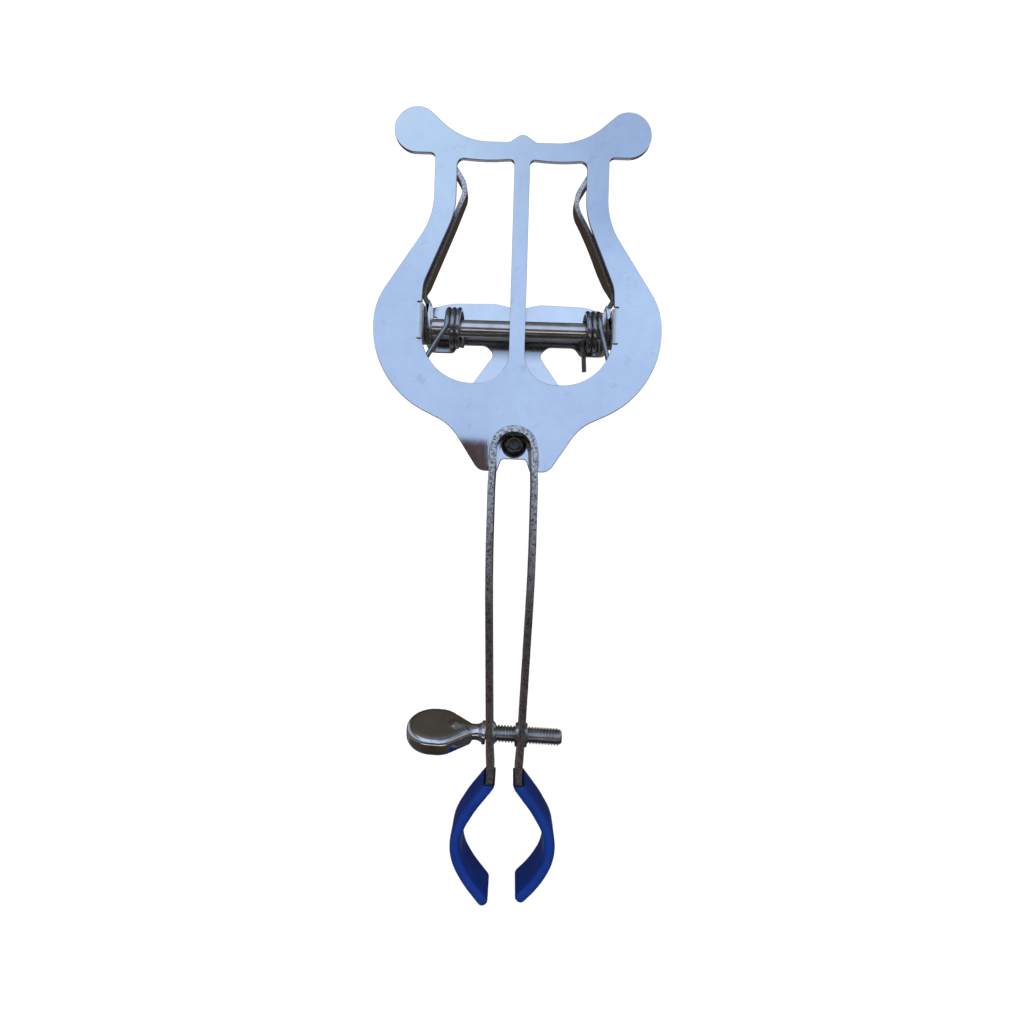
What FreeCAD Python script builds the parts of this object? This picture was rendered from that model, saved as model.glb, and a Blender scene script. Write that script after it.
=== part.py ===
"""Clip-on music lyre: a lyre-shaped plate with a sprung rear clamp, on a hairpin stem whose rubber-dipped jaws
are closed on an instrument's tube by a thumb screw.

Frame, in millimetres: the origin is the centre of the ring between the jaws, +Z runs up the stem to the lyre,
+X is to the right as a player sees the front, and +Y points to the back, where the sprung clamp is.
"""

import FreeCAD, Part
import math
import os

import Sketcher
from FreeCAD import Placement, Rotation, Vector

DIMENSIONS = {
    # lyre plate
    "plate_thickness": 1.2,
    "plate_front": 5.4,
    "plate_bottom": 83.7,
    "ear_inner": 22.4,
    "ear_height": 8.4,
    "ear_bend": 0.3,
    # hinge
    "hinge_depth": 11.9,
    "hinge_height": 118.9,
    "pin_radius": 1.3,
    "pin_clearance": 0.05,
    "pin_head_radius": 2.2,
    "pin_head_length": 0.8,
    "sleeve_radius": 2.1,
    "sleeve_bore": 1.4,
    "sleeve_length": 41.9,
    # rear clamp
    "clamp_thickness": 1.15,
    "clamp_front": 18.45,
    "flange_outer": 22.25,
    "clamp_bend": 0.5,
    "flange_top": 3.4,
    "flange_bottom": -4.5,
    # torsion springs
    "wire_radius": 0.6,
    "coil_radius": 4.4,
    "coil_pitch": 1.29,
    "coil_turns": 2.5,
    # hairpin stem
    "strip_thickness": 1.5,
    "strip_width": 10.8,
    "bend_radius": 4.35,
    "bend_height": 88.2,
    "flex_height": 83.5,
    "flex_gap": 0.04,
    # jaws
    "ring_radius": 9.25,
    "coat_thickness": 0.475,
    "coat_edge": 0.55,
    "coat_top": 13.6,
    # thumb screw
    "screw_height": 23.35,
    "screw_radius": 1.93,
    "screw_tip": 12.85,
    "neck_radius": 1.8,
    "shoulder_radius": 2.65,
    "left_bore": 2.06,
    "right_bore": 2.32,
    "lip_radius": 2.75,
    "lip_height": 0.6,
    "paddle_radius": 6.2,
    "paddle_thickness": 4.6,
    "paddle_centre": -16.4,
    "paddle_tilt": 21.0,
    "paddle_drop": 0.45,
    # rivet and brazing
    "rivet_height": 89.9,
    "rivet_shank": 1.2,
    "rivet_head": 3.05,
    "rivet_rise": 2.6,
    "bead_width": 0.7,
    "bead_height": 0.45,
}

document = FreeCAD.newDocument("ClipOnMusicLyre")
sheet = document.addObject("Spreadsheet::Sheet", "Dimensions")
for row, (alias, value) in enumerate(DIMENSIONS.items(), start=1):
    sheet.set(f"A{row}", alias)
    sheet.set(f"B{row}", str(value))
    sheet.setAlias(f"B{row}", alias)
document.recompute()

nodes = []


def size(alias):
    """The value of one cell of the sheet."""
    return float(sheet.get(alias))


# ---------------------------------------------------------------- outlines


def unit(a, b):
    """The unit vector from point a to point b."""
    length = math.hypot(b[0] - a[0], b[1] - a[1])
    return (b[0] - a[0]) / length, (b[1] - a[1]) / length


def mirrored(corners):
    """The same corners on the other side of the middle plane, in reverse order."""
    return [(-x, z, r) for x, z, r in reversed(corners)]


def symmetric(half):
    """A closed outline from its right half, which runs from the lower middle to the upper middle."""
    left = [corner for corner in mirrored(half) if abs(corner[0]) > 1e-9]
    return half + left


def offset(path, distance):
    """A rounded path moved sideways, to its left if distance is positive. Its arcs stay concentric."""
    moved = []
    for i, (x, z, r) in enumerate(path):
        before = unit(path[i - 1], path[i]) if i else unit(path[0], path[1])
        after = unit(path[i], path[i + 1]) if i < len(path) - 1 else before
        n1 = (-before[1], before[0])
        n2 = (-after[1], after[0])
        scale = distance / (1 + n1[0] * n2[0] + n1[1] * n2[1])
        turn = before[0] * after[1] - before[1] * after[0]
        radius = r - math.copysign(distance, turn * distance) if r else 0
        moved.append((x + (n1[0] + n2[0]) * scale, z + (n1[1] + n2[1]) * scale, radius))
    return moved


def band(path, thickness):
    """The closed outline of a strip of that thickness along a rounded path."""
    return offset(path, -thickness / 2) + list(reversed(offset(path, thickness / 2)))


def rounded_edges(corners, closed=True):
    """Straight lines joined by tangent arcs, for corners given as (x, y, radius)."""
    count = len(corners)
    trimmed = []
    for i, (x, y, r) in enumerate(corners):
        at_end = not closed and i in (0, count - 1)
        if at_end or r < 1e-6:
            trimmed.append(((x, y), (x, y), None))
            continue
        before = unit(corners[i], corners[i - 1])
        after = unit(corners[i], corners[(i + 1) % count])
        half = math.acos(max(-1, min(1, before[0] * after[0] + before[1] * after[1]))) / 2
        reach = r / math.tan(half)
        start = (x + before[0] * reach, y + before[1] * reach)
        end = (x + after[0] * reach, y + after[1] * reach)
        gap = r / math.sin(half) - r
        towards = unit((0, 0), (before[0] + after[0], before[1] + after[1]))
        trimmed.append((start, end, (x + towards[0] * gap, y + towards[1] * gap)))
    edges = []
    for i, (start, end, middle) in enumerate(trimmed):
        if middle:
            edges.append(Part.Arc(Vector(*start, 0), Vector(*middle, 0), Vector(*end, 0)))
        following = trimmed[(i + 1) % count][0]
        last = not closed and i == count - 1
        run = unit(corners[i], corners[(i + 1) % count])
        if not last and (following[0] - end[0]) * run[0] + (following[1] - end[1]) * run[1] < -1e-6:
            raise ValueError(f"the roundings at {corners[i]} and {corners[(i + 1) % count]} overlap")
        if not last and math.hypot(following[0] - end[0], following[1] - end[1]) > 1e-5:
            edges.append(Part.LineSegment(Vector(*end, 0), Vector(*following, 0)))
    return edges


# ---------------------------------------------------------------- features


def new_body(name):
    return document.addObject("PartDesign::Body", name)


def origin_plane(body, role):
    return next(item for item in body.Origin.OriginFeatures if item.Role == role)


def new_sketch(body, name, role, along=None):
    """An empty sketch on one of the body's own planes, moved along the plane's normal by an expression."""
    sketch = body.newObject("Sketcher::SketchObject", name)
    sketch.AttachmentSupport = [(origin_plane(body, role), "")]
    sketch.MapMode = "FlatFace"
    if along:
        sketch.setExpression("AttachmentOffset.Base.z", along)
    return sketch


def draw(sketch, corners):
    for edge in rounded_edges(corners):
        sketch.addGeometry(edge, False)


def draw_circle(sketch, x, y, radius):
    """A circle whose radius is bound to the sheet."""
    circle = Part.Circle(Vector(x, y, 0), Vector(0, 0, 1), size(radius))
    index = sketch.addGeometry(circle, False)
    number = sketch.addConstraint(Sketcher.Constraint("Radius", index, size(radius)))
    sketch.setExpression(f"Constraints[{number}]", f"Dimensions.{radius}")


def pad(body, sketch, length, reverse=False, symmetric_pad=False):
    feature = body.newObject("PartDesign::Pad", sketch.Name + "Pad")
    feature.Profile = sketch
    feature.setExpression("Length", length)
    feature.Reversed = reverse
    if symmetric_pad:
        feature.SideType = "Symmetric"
    sketch.Visibility = False
    return feature


def pocket_through(body, sketch):
    """Cuts the sketch through the whole body, both ways."""
    feature = body.newObject("PartDesign::Pocket", sketch.Name + "Pocket")
    feature.Profile = sketch
    feature.SideType = "Symmetric"
    feature.Length = 200
    return feature


def finished(item, label):
    """Names a sub-part and puts it on the list of nodes."""
    item.Label = label
    nodes.append(item)
    return item


def cylinder(name, radius, length, placement):
    item = document.addObject("Part::Cylinder", name)
    item.setExpression("Radius", radius)
    item.setExpression("Height", length)
    item.Placement = placement
    return item


def boolean(kind, name, base, tool):
    item = document.addObject(kind, name)
    item.Base = base
    item.Tool = tool
    return item


def fuse(name, shapes):
    item = document.addObject("Part::MultiFuse", name)
    item.Shapes = shapes
    return item


# ---------------------------------------------------------------- lyre plate


def lyre_outline():
    """Heights are above the plate's bottom edge. The plate is symmetric, and its two balls are round."""
    bottom = size("plate_bottom")
    ball = (25.0, 80.35, 5.45)
    right = [
        (0, 2.9, 0),
        (2.9, 2.9, 1.0),
        (3.9, 0, 0.4),
        (8.35, 0, 3.0),
        (15.4, 10.8, 12.0),
        (34.2, 19.75, 22.0),
        (34.2, 38.9, 16.0),
        (20.65, 59.8, 18.0),
        (20.65, 74.9, 1.2),
        (ball[0] + ball[2], ball[1] - ball[2], ball[2] - 0.01),
        (ball[0] + ball[2], ball[1] + ball[2], ball[2] - 0.01),
        (23.08, 85.8, 5.0),
        (14.25, 77.95, 16.5),
        (3.2, 77.95, 1.6),
        (0, 80.15, 2.0),
    ]
    return symmetric([(x, bottom + h, r) for x, h, r in right])


def window_outline():
    """The right-hand window, between the centre bar and the side bar."""
    bottom = size("plate_bottom")
    corners = [
        (1.85, 20.7, 7.5),
        (22.75, 20.7, 12.0),
        (22.75, 43.7, 8.0),
        (15.45, 61.35, 20.0),
        (15.45, 73.9, 1.6),
        (8.4, 73.3, 45.0),
        (1.85, 73.9, 1.1),
    ]
    return [(x, bottom + h, r) for x, h, r in corners]


def make_lyre_plate():
    """The flat stamping, with its two ears bent back beside the windows to hold the hinge pin."""
    body = new_body("LyrePlate")
    outline = new_sketch(body, "LyreOutline", "XZ_Plane", "-Dimensions.plate_front")
    draw(outline, lyre_outline())
    draw(outline, window_outline())
    draw(outline, mirrored(window_outline()))
    pad(body, outline, "Dimensions.plate_thickness", reverse=True)

    thickness = size("plate_thickness")
    bend = size("ear_bend")
    inner = size("ear_inner")
    corner = inner + thickness + bend
    half = size("ear_height") / 2
    hinge = size("hinge_height")
    relief = 0.25
    slots = new_sketch(body, "EarRelief", "XZ_Plane")
    for side in (1, -1):
        ends = [(inner - 1, hinge - half - relief, 0), (corner, hinge - half - relief, 0.4),
                (corner, hinge + half + relief, 0.4), (inner - 1, hinge + half + relief, 0)]
        draw(slots, ends if side > 0 else mirrored(ends))
    pocket_through(body, slots)

    front = size("plate_front")
    turn = front + thickness + bend
    outer_arc = thickness + bend
    for side, word in ((1, "Right"), (-1, "Left")):
        bent = new_sketch(body, f"{word}EarBend", "XY_Plane", "Dimensions.hinge_height - Dimensions.ear_height / 2")
        centre = (side * corner, turn)
        middle = math.sqrt(0.5)
        arcs = [
            [(0, -outer_arc), (-middle * outer_arc, -middle * outer_arc), (-outer_arc, 0)],
            [(-bend, 0), (-middle * bend, -middle * bend), (0, -bend)],
        ]
        points = [[Vector(centre[0] + side * x, centre[1] + y, 0) for x, y in arc] for arc in arcs]
        for arc in points:
            bent.addGeometry(Part.Arc(*arc), False)
        bent.addGeometry(Part.LineSegment(points[0][2], points[1][0]), False)
        bent.addGeometry(Part.LineSegment(points[1][2], points[0][0]), False)
        pad(body, bent, "Dimensions.ear_height")

        ear = new_sketch(body, f"{word}Ear", "YZ_Plane",
                         "Dimensions.ear_inner" if side > 0 else "-Dimensions.ear_inner")
        depth = size("hinge_depth")
        draw(ear, [(turn, hinge - half, 0), (depth + half, hinge - half, half - 0.01),
                   (depth + half, hinge + half, half - 0.01), (turn, hinge + half, 0)])
        pad(body, ear, "Dimensions.plate_thickness", reverse=side < 0)

    bore = new_sketch(body, "EarBore", "YZ_Plane")
    draw_circle(bore, size("hinge_depth"), hinge, "pin_radius")
    pocket_through(body, bore)

    shank = new_sketch(body, "RivetBore", "XZ_Plane")
    draw_circle(shank, 0, size("rivet_height"), "rivet_shank")
    pocket_through(body, shank)
    return finished(body, "lyre_plate")


# ---------------------------------------------------------------- rear clamp


def clamp_outline():
    """The butterfly plate behind the lyre: two humps above the hinge and a thumb tab below it."""
    hinge = size("hinge_height")
    edge = size("flange_outer") - size("clamp_thickness") - size("clamp_bend")
    right = [
        (0, -21.6, 0),
        (10.4, -21.6, 5.5),
        (12.3, -14.0, 7.2),
        (5.6, -4.6, 1.8),
        (8.0, -2.4, 2.4),
        (14.9, -2.4, 2.2),
        (16.2, -4.5, 1.2),
        (edge, -4.5, 0),
        (edge, size("flange_top"), 0),
        (edge, 4.4, 0.45),
        (edge + 1.2, 4.4, 0.45),
        (edge + 1.2, 3.9, 0),
        (22.7, 3.9, 0.4),
        (22.7, 6.6, 1.6),
        (16.6, 8.05, 10.0),
        (5.6, 8.3, 8.0),
        (0, 7.0, 3.0),
    ]
    return symmetric([(x, hinge + g, r) for x, g, r in right])


def arm_path(side):
    """The middle line of an arm: up from the flange, out over the ear, leaning in, then hooked outwards.

    The two arms are bent by hand and differ: the right one bows outwards, and the left one is straight.
    """
    flange = size("flange_outer") - size("clamp_thickness") / 2
    hinge = size("hinge_height")
    start = [(flange, 2.0, 0), (flange, 4.75, 1.5)]
    if side > 0:
        corners = start + [(23.3, 7.3, 2.0), (17.6, 20.6, 25.0), (12.35, 29.8, 6.0), (16.5, 36.6, 0)]
    else:
        corners = start + [(23.0, 7.2, 2.0), (13.0, 32.4, 5.0), (17.0, 38.6, 0)]
    return [(x, hinge + g, r) for x, g, r in corners]


def make_rear_clamp():
    """One stamping: the butterfly plate, two flanges bent forward round the pin, and an arm above each."""
    body = new_body("RearClamp")
    outline = new_sketch(body, "ClampOutline", "XZ_Plane", "-Dimensions.clamp_front")
    draw(outline, clamp_outline())
    pad(body, outline, "Dimensions.clamp_thickness", reverse=True)

    thickness = size("clamp_thickness")
    bend = size("clamp_bend")
    outer = size("flange_outer")
    hinge = size("hinge_height")
    corner = outer - thickness - bend
    turn = size("clamp_front") - bend
    middle = math.sqrt(0.5)
    for side, word in ((1, "Right"), (-1, "Left")):
        bent = new_sketch(body, f"{word}FlangeBend", "XY_Plane",
                          "Dimensions.hinge_height + Dimensions.flange_bottom")
        radius = thickness + bend
        arcs = [
            [(0, radius), (middle * radius, middle * radius), (radius, 0)],
            [(bend, 0), (middle * bend, middle * bend), (0, bend)],
        ]
        points = [[Vector(side * (corner + x), turn + y, 0) for x, y in arc] for arc in arcs]
        for arc in points:
            bent.addGeometry(Part.Arc(*arc), False)
        bent.addGeometry(Part.LineSegment(points[0][2], points[1][0]), False)
        bent.addGeometry(Part.LineSegment(points[1][2], points[0][0]), False)
        pad(body, bent, "Dimensions.flange_top - Dimensions.flange_bottom")

        flange = new_sketch(body, f"{word}Flange", "YZ_Plane",
                            "Dimensions.flange_outer" if side > 0 else "-Dimensions.flange_outer")
        profile = [(turn, size("flange_bottom"), 0), (turn, size("flange_top"), 0), (13.9, size("flange_top"), 1.2),
                   (13.3, 5.5, 0.6), (7.7, 5.5, 0.3), (8.2, -2.2, 1.6), (10.6, size("flange_bottom"), 1.6)]
        draw(flange, [(y, hinge + g, r) for y, g, r in profile])
        pad(body, flange, "Dimensions.clamp_thickness", reverse=side > 0)

        arm = new_sketch(body, f"{word}Arm", "XZ_Plane", "-6.75 mm")
        path = band(arm_path(side), thickness)
        draw(arm, path if side > 0 else mirrored(path))
        pad(body, arm, "7.95 mm" if side > 0 else "5.75 mm", reverse=True)

    trim = new_sketch(body, "ArmTaper", "YZ_Plane")
    front_edge = [(6.0, 1.5, 0), (7.7, 4.6, 0), (6.8, 40.0, 0), (6.0, 40.0, 0)]
    rear_edge = [(10.4, 5.6, 0), (10.6, 7.0, 1.2), (13.9, 11.5, 3.0), (14.6, 15.5, 8.0), (13.9, 20.6, 6.0),
                 (12.4, 25.0, 5.0), (10.7, 39.5, 0), (16.0, 39.5, 0), (16.0, 5.6, 0)]
    for outline in (front_edge, rear_edge):
        draw(trim, [(y, hinge + g, r) for y, g, r in outline])
    pocket_through(body, trim)

    bore = new_sketch(body, "FlangeBore", "YZ_Plane")
    circle = Part.Circle(Vector(size("hinge_depth"), hinge, 0), Vector(0, 0, 1), 1)
    index = bore.addGeometry(circle, False)
    number = bore.addConstraint(Sketcher.Constraint("Radius", index, 1))
    bore.setExpression(f"Constraints[{number}]", "Dimensions.pin_radius + Dimensions.pin_clearance")
    pocket_through(body, bore)

    return finished(body, "rear_clamp")


# ---------------------------------------------------------------- hinge


def turned(name, profile):
    """A turned piece about its own X axis, from a closed list of (x, radius, rounding)."""
    body = new_body(name)
    sketch = new_sketch(body, name + "Profile", "XY_Plane")
    draw(sketch, profile)
    feature = body.newObject("PartDesign::Revolution", name + "Turned")
    feature.Profile = sketch
    feature.ReferenceAxis = (origin_plane(body, "X_Axis"), [""])
    feature.Angle = 360
    return body


def on_hinge(item):
    """Places a piece that was turned about X on the hinge's axis."""
    item.setExpression("Placement.Base.y", "Dimensions.hinge_depth")
    item.setExpression("Placement.Base.z", "Dimensions.hinge_height")
    return item


def make_hinge_pin():
    """A plain pin, peened over the outside of both ears."""
    outside = size("ear_inner") + size("plate_thickness")
    radius = size("pin_radius")
    head = size("pin_head_radius")
    end = outside + size("pin_head_length")
    profile = [(-end, 0, 0), (-end, head, 0.6), (-outside, head, 0), (-outside, radius, 0),
               (outside, radius, 0), (outside, head, 0), (end, head, 0.6), (end, 0, 0)]
    return finished(on_hinge(turned("HingePin", profile)), "hinge_pin")


def make_hinge_sleeve():
    """The tube between the two flanges that the springs sit round."""
    start = Placement(Vector(-size("sleeve_length") / 2, 0, 0), Rotation(Vector(0, 1, 0), 90))
    tube = cylinder("SleeveOutside", "Dimensions.sleeve_radius", "Dimensions.sleeve_length", start)
    hole = cylinder("SleeveBore", "Dimensions.sleeve_bore", "Dimensions.sleeve_length", start)
    return finished(on_hinge(boolean("Part::Cut", "HingeSleeve", tube, hole)), "hinge_sleeve")


def bent_leg(tip, corner, along):
    """A wire's leg as edges: a straight run from the tip, then a bend that meets the corner along that direction."""
    radius = 2.5
    back = -along
    aside = (tip - corner) - back * (tip - corner).dot(back)
    reach = (tip - corner).dot(back)
    away = aside.Length - radius
    turned_by = math.atan2(away, reach) - math.acos(radius / math.hypot(reach, away)) + math.pi / 2
    aside.normalize()

    def on_bend(angle):
        return corner + back * radius * math.sin(angle) + aside * radius * (1 - math.cos(angle))

    end = on_bend(turned_by)
    return [Part.makeLine(tip, end), Part.Arc(end, on_bend(turned_by / 2), corner).toShape()]


def make_spring(word, outer, front_leg, rear_leg):
    """A torsion spring. Its front leg bears on the back of the lyre plate, its rear leg on the clamp.

    outer is how far the coil's outer end is from the middle plane, and each leg is given by its tip.
    """
    wire = size("wire_radius")
    pitch = size("coil_pitch")
    turns = size("coil_turns")
    helix = Part.makeHelix(pitch, pitch * turns, size("coil_radius"))
    helix.Placement = Placement(Vector(outer - wire, size("hinge_depth"), size("hinge_height")),
                                Rotation(Vector(0, -1, 0), Vector(0, 0, 1), Vector(-1, 0, 0), "XYZ"))
    coil = helix.Edges[0]
    start, end = coil.FirstParameter, coil.LastParameter
    front = bent_leg(Vector(*front_leg), coil.valueAt(start), coil.tangentAt(start))
    rear = bent_leg(Vector(*rear_leg), coil.valueAt(end), -coil.tangentAt(end))
    spine = Part.Wire([*front, coil, *reversed(rear)])
    tip = front[0].Vertexes[0].Point
    section = Part.Wire(Part.makeCircle(wire, tip, front[0].Vertexes[1].Point - tip))
    solid = spine.makePipeShell([section], True, True, 0)
    if abs(solid.Volume / (math.pi * wire ** 2 * spine.Length) - 1) > 0.02:
        raise RuntimeError(f"{word} spring: the swept wire folds into itself")
    if word == "Left":
        solid = solid.mirror(Vector(0, 0, 0), Vector(1, 0, 0))
    spring = document.addObject("Part::Feature", word + "Spring")
    spring.Shape = solid
    return finished(spring, word.lower() + "_spring")


# ---------------------------------------------------------------- hairpin stem and jaws


RING_HALF_ANGLE = math.radians(31)
LEG_TOP = (4.85, 60.6)
LEG_FOOT = (3.45, 19.6)
LEG_LEAN = math.atan2(LEG_TOP[0] - LEG_FOOT[0], LEG_TOP[1] - LEG_FOOT[1])


def jaw_radius():
    """The middle line of the strip where it goes round the ring."""
    return size("ring_radius") + size("coat_thickness") + size("strip_thickness") / 2


def tangent_x(z):
    """Where the lines that run on from the jaw's arc, above and below the ring, are at height z."""
    return (jaw_radius() - abs(z) * math.sin(RING_HALF_ANGLE)) / math.cos(RING_HALF_ANGLE)


def bend_line(height):
    """A point on the right limb of the bend, which splays slightly towards the bulge of the leg."""
    top = size("bend_height") + size("bend_radius")
    share = (top - height) / (top - 80.0)
    return size("bend_radius") + share * (LEG_TOP[0] - size("bend_radius")), height


def jaw_path(side):
    """The middle line of a jaw, from the neck to its tip. The left one is a little longer."""
    tip = (4.0, -11.4, 0) if side > 0 else (3.75, -12.35, 0)
    return [
        (3.0, 13.7, 3.6),
        (tangent_x(8.2), 8.2, 20.0),
        (tangent_x(0), 0, jaw_radius()),
        (tangent_x(8.0), -8.0, 20.0),
        tip,
    ]


def leg_path(side):
    """The middle line of a leg, from just below the bend to the tip of the jaw."""
    start = bend_line(size("flex_height") - size("flex_gap"))
    return [(*start, 0), (LEG_TOP[0], 80.0, 40.0), (*LEG_TOP, 500.0), (*LEG_FOOT, 60.0)] + jaw_path(side)


def bend_path(lower):
    """The middle line of the bend, over the top from one limb's lower end to the other's."""
    top = size("bend_height") + size("bend_radius")
    radius = size("bend_radius")
    right = [(*bend_line(lower), 0), (radius, top, radius - 0.05)]
    return right + [(-x, z, r) for x, z, r in reversed(right)]


def strip(name, outline):
    """A length of the stem's strip, which stands on edge across the middle plane."""
    body = new_body(name)
    sketch = new_sketch(body, name + "Outline", "XZ_Plane")
    draw(sketch, outline)
    pad(body, sketch, "Dimensions.strip_width", symmetric_pad=True)
    return body


def make_stem_bend():
    """The top of the hairpin, brazed on edge to the front of the lyre plate."""
    lower = size("flex_height") + size("flex_gap")
    outline = band(bend_path(lower), size("strip_thickness"))
    return finished(strip("StemBend", outline), "stem_bend")


def screw_line(distance):
    """The point on the thumb screw's axis at that distance from the middle plane."""
    return Vector(distance * math.cos(LEG_LEAN), 0, size("screw_height") - distance * math.sin(LEG_LEAN))


def leg_at(height):
    """The middle of the right leg at that height."""
    return LEG_FOOT[0] + (height - LEG_FOOT[1]) * math.tan(LEG_LEAN)


def make_leg(side, word):
    """A leg of the hairpin with its jaw, and the hole for the thumb screw with its formed lip."""
    outline = band(leg_path(side), size("strip_thickness"))
    blank = strip(word + "Blank", outline if side > 0 else mirrored(outline))
    crossing = leg_at(size("screw_height"))
    lip_end = size("strip_thickness") / 2 + size("lip_height")
    if side > 0:
        middle = screw_line(crossing)
        normal = Vector(math.cos(LEG_LEAN), 0, -math.sin(LEG_LEAN))
        lip_start = -lip_end
    else:
        middle = screw_line(-crossing)
        normal = Vector(math.cos(LEG_LEAN), 0, math.sin(LEG_LEAN))
        lip_start = 0
    turn = Rotation(Vector(0, 0, 1), normal)
    lip = cylinder(word + "Lip", "Dimensions.lip_radius", f"{lip_end - lip_start} mm",
                   Placement(middle + normal * lip_start, turn))
    bore = cylinder(word + "Bore", f"Dimensions.{word.lower()}_bore", "20 mm", Placement(middle - normal * 10, turn))
    whole = fuse(word + "LegWithLip", [blank, lip])
    leg = boolean("Part::Cut", word + "Leg", whole, bore)
    return finished(leg, word.lower() + "_leg")


def make_jaw_sleeve(side, word):
    """The rubber that the jaw was dipped in, up to a level line across the neck."""
    path = [(*LEG_FOOT, 0)] + jaw_path(side)
    before = unit(path[-2], path[-1])
    tip = (path[-1][0] + before[0] * 0.7, path[-1][1] + before[1] * 0.7, 0)
    thickness = size("strip_thickness") + 2 * size("coat_thickness")
    outline = band(path[:-1] + [tip], thickness)
    for corner in (len(path) - 1, len(path)):
        outline[corner] = (*outline[corner][:2], 1.2)
    metal = band(path, size("strip_thickness"))

    body = new_body(word + "Dip")
    sketch = new_sketch(body, word + "DipOutline", "XZ_Plane")
    draw(sketch, outline if side > 0 else mirrored(outline))
    pad(body, sketch, "Dimensions.strip_width + 2 * Dimensions.coat_edge", symmetric_pad=True)
    core = new_body(word + "DipCore")
    core_sketch = new_sketch(core, word + "DipCoreOutline", "XZ_Plane")
    draw(core_sketch, metal if side > 0 else mirrored(metal))
    pad(core, core_sketch, "Dimensions.strip_width", symmetric_pad=True)

    above = document.addObject("Part::Box", word + "AboveDip")
    above.Length = 30
    above.Width = 30
    above.Height = 30
    above.Placement.Base = Vector(-15, -15, 0)
    above.setExpression("Placement.Base.z", "Dimensions.coat_top")
    level = boolean("Part::Cut", word + "DipLevel", body, above)
    sleeve = boolean("Part::Cut", word + "JawSleeve", level, core)
    return finished(sleeve, word.lower() + "_jaw_sleeve")


# ---------------------------------------------------------------- fixing of the stem


def make_stem_rivet():
    """The domed rivet inside the bend, peened over at the back of the plate."""
    front = size("plate_front")
    back = front + size("plate_thickness")
    shank = size("rivet_shank")
    head = size("rivet_head")
    top = front - size("rivet_rise")
    profile = [(top, 0, 0), (top, head - 0.5, 1.9), (front - 0.5, head, 0.3), (front, head, 0), (front, shank, 0),
               (back, shank, 0), (back, 1.8, 0), (back + 0.7, 1.7, 0.4), (back + 0.7, 0, 0)]
    rivet = turned("RivetBlank", profile)
    rivet.Placement = Placement(Vector(0, 0, size("rivet_height")), Rotation(Vector(0, 0, 1), 90))
    inside = size("bend_radius") - size("strip_thickness") / 2 - 0.05
    room = cylinder("BendInside", f"{inside} mm", "30 mm",
                    Placement(Vector(0, 15, size("bend_height")), Rotation(Vector(1, 0, 0), 90)))
    return finished(boolean("Part::Common", "StemRivet", rivet, room), "stem_rivet")


def make_braze_bead():
    """The bead of brazing metal round the outside of the bend, on the face of the plate."""
    width = size("bead_width")
    lower = size("plate_bottom") + 0.9
    path = offset(bend_path(lower), -(size("strip_thickness") + width) / 2)
    body = new_body("BrazeBead")
    sketch = new_sketch(body, "BeadOutline", "XZ_Plane", "-Dimensions.plate_front")
    draw(sketch, band(path, width))
    pad(body, sketch, "Dimensions.bead_height")
    return finished(body, "braze_bead")


# ---------------------------------------------------------------- thumb screw


def make_thumb_screw():
    """A spade-headed screw: paddle, tapered neck, shoulder against the left leg, and threaded shank."""
    face = -(leg_at(size("screw_height")) + size("strip_thickness") / 2 + 0.22)
    neck = size("neck_radius")
    thread = size("screw_radius")
    tip = size("screw_tip")
    shoulder = size("shoulder_radius")
    profile = [(-12.6, 0, 0), (-12.6, 2.6, 0), (-11.4, 2.8, 1.0), (-8.0, neck, 4.0), (face - 0.8, neck, 0),
               (face - 0.8, shoulder, 0.2), (face, shoulder, 0.1), (face, thread, 0), (tip - 0.7, thread, 0.3),
               (tip, thread - 0.7, 0.3), (tip, 0, 0)]
    shank = turned("ScrewShank", profile)

    centre = size("paddle_centre")
    radius = size("paddle_radius")
    paddle = new_body("Paddle")
    outline = new_sketch(paddle, "PaddleOutline", "XY_Plane")
    half = [(-8.4, -1.9, 0), (-8.4, 1.9, 0), (-13.4, radius, 5.0), (centre - radius, radius, radius - 0.01)]
    draw(outline, half + [(centre - radius, -radius, radius - 0.01), (-13.4, -radius, 5.0)])
    blank = pad(paddle, outline, "Dimensions.paddle_thickness", symmetric_pad=True)
    document.recompute()
    rim = [f"Edge{i}" for i, edge in enumerate(blank.Shape.Edges, start=1)
           if abs(edge.CenterOfMass.z) > 1 and edge.CenterOfMass.x < -9]
    rounding = paddle.newObject("PartDesign::Fillet", "PaddleRim")
    rounding.Base = (blank, rim)
    rounding.Radius = 1.3
    paddle.Placement.Rotation = Rotation(Vector(1, 0, 0), size("paddle_tilt"))
    paddle.setExpression("Placement.Rotation.Angle", "Dimensions.paddle_tilt")
    paddle.setExpression("Placement.Base.z", "-Dimensions.paddle_drop")

    screw = fuse("ThumbScrew", [shank, paddle])
    screw.Placement = Placement(Vector(0, 0, size("screw_height")),
                                Rotation(Vector(0, 1, 0), math.degrees(LEG_LEAN)))
    return finished(screw, "thumb_screw")


# ---------------------------------------------------------------- all sub-parts


def write_parts():
    """Stops if anything failed, then writes each sub-part's shape to its own file."""
    document.recompute()
    for item in document.Objects:
        if "Invalid" in item.State or "Error" in item.State:
            raise RuntimeError(f"{item.Name} failed: {item.State}")
    for item in nodes:
        if item.Shape.isNull() or not item.Shape.isValid() or item.Shape.Volume <= 0:
            raise RuntimeError(f"{item.Label} has no valid solid")
    os.makedirs("parts", exist_ok=True)
    for item in nodes:
        item.Shape.exportStep(f"parts/{item.Label}.step")
        box = item.Shape.BoundBox
        print(f"{item.Label}: {len(item.Shape.Solids)} solid, {item.Shape.Volume:.1f} mm3,"
              f" x {box.XMin:.2f}..{box.XMax:.2f}, y {box.YMin:.2f}..{box.YMax:.2f}, z {box.ZMin:.2f}..{box.ZMax:.2f}")


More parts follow.
